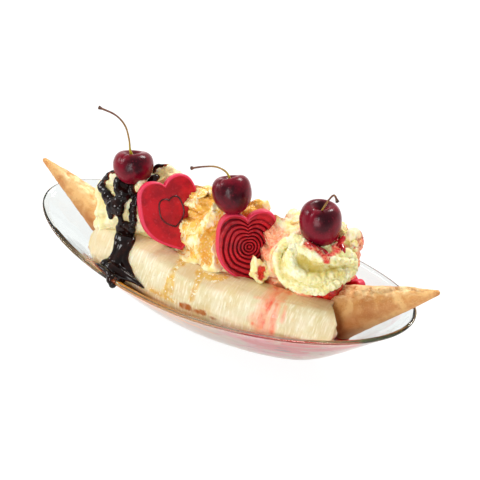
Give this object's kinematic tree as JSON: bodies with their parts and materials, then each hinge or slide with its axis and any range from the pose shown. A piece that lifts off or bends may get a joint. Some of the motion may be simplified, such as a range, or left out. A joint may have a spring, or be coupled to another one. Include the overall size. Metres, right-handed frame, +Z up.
{
  "type": "banana split",
  "caption": "Banana split in a clear glass boat dish: banana halves, scoops of ice cream with sauces, piped cream, cherries, red sugar hearts and wafer cones.",
  "frame": {"origin": "middle of the flat foot of the glass dish, at table level", "axes": "+X along the dish towards the right-hand cone, +Y across it away from the shown side, +Z up"},
  "size_m": [0.2582, 0.101, 0.1197],
  "materials": {
    "glass": "clear pressed glass",
    "melted_cream": "wet melted ice cream",
    "banana_flesh": "peeled ripe banana",
    "vanilla": "ice cream with chocolate sauce",
    "caramel_vanilla": "ice cream with caramel sauce",
    "berry_vanilla": "ice cream with red fruit sauce",
    "whipped_cream": "piped cream",
    "chocolate": "glossy dark sauce",
    "cherry_skin": "glossy dark cherry",
    "red_fondant": "satin sugar paste",
    "wafer": "baked sugar wafer"
  },
  "bodies": {
    "root": {"dish": "glass", "sauce_pool": "melted_cream", "banana_near": "banana_flesh", "banana_far": "banana_flesh", "scoop_left": "vanilla", "scoop_middle": "caramel_vanilla", "scoop_right": "berry_vanilla", "cream_swirl": "whipped_cream", "chocolate_sauce": "chocolate", "cherry_left": "cherry_skin", "cherry_middle": "cherry_skin", "cherry_right": "cherry_skin", "heart_plain": "red_fondant", "heart_rings": "red_fondant", "heart_sunk": "red_fondant", "cone_left": "wafer", "cone_right": "wafer"}
  },
  "joints": []
}
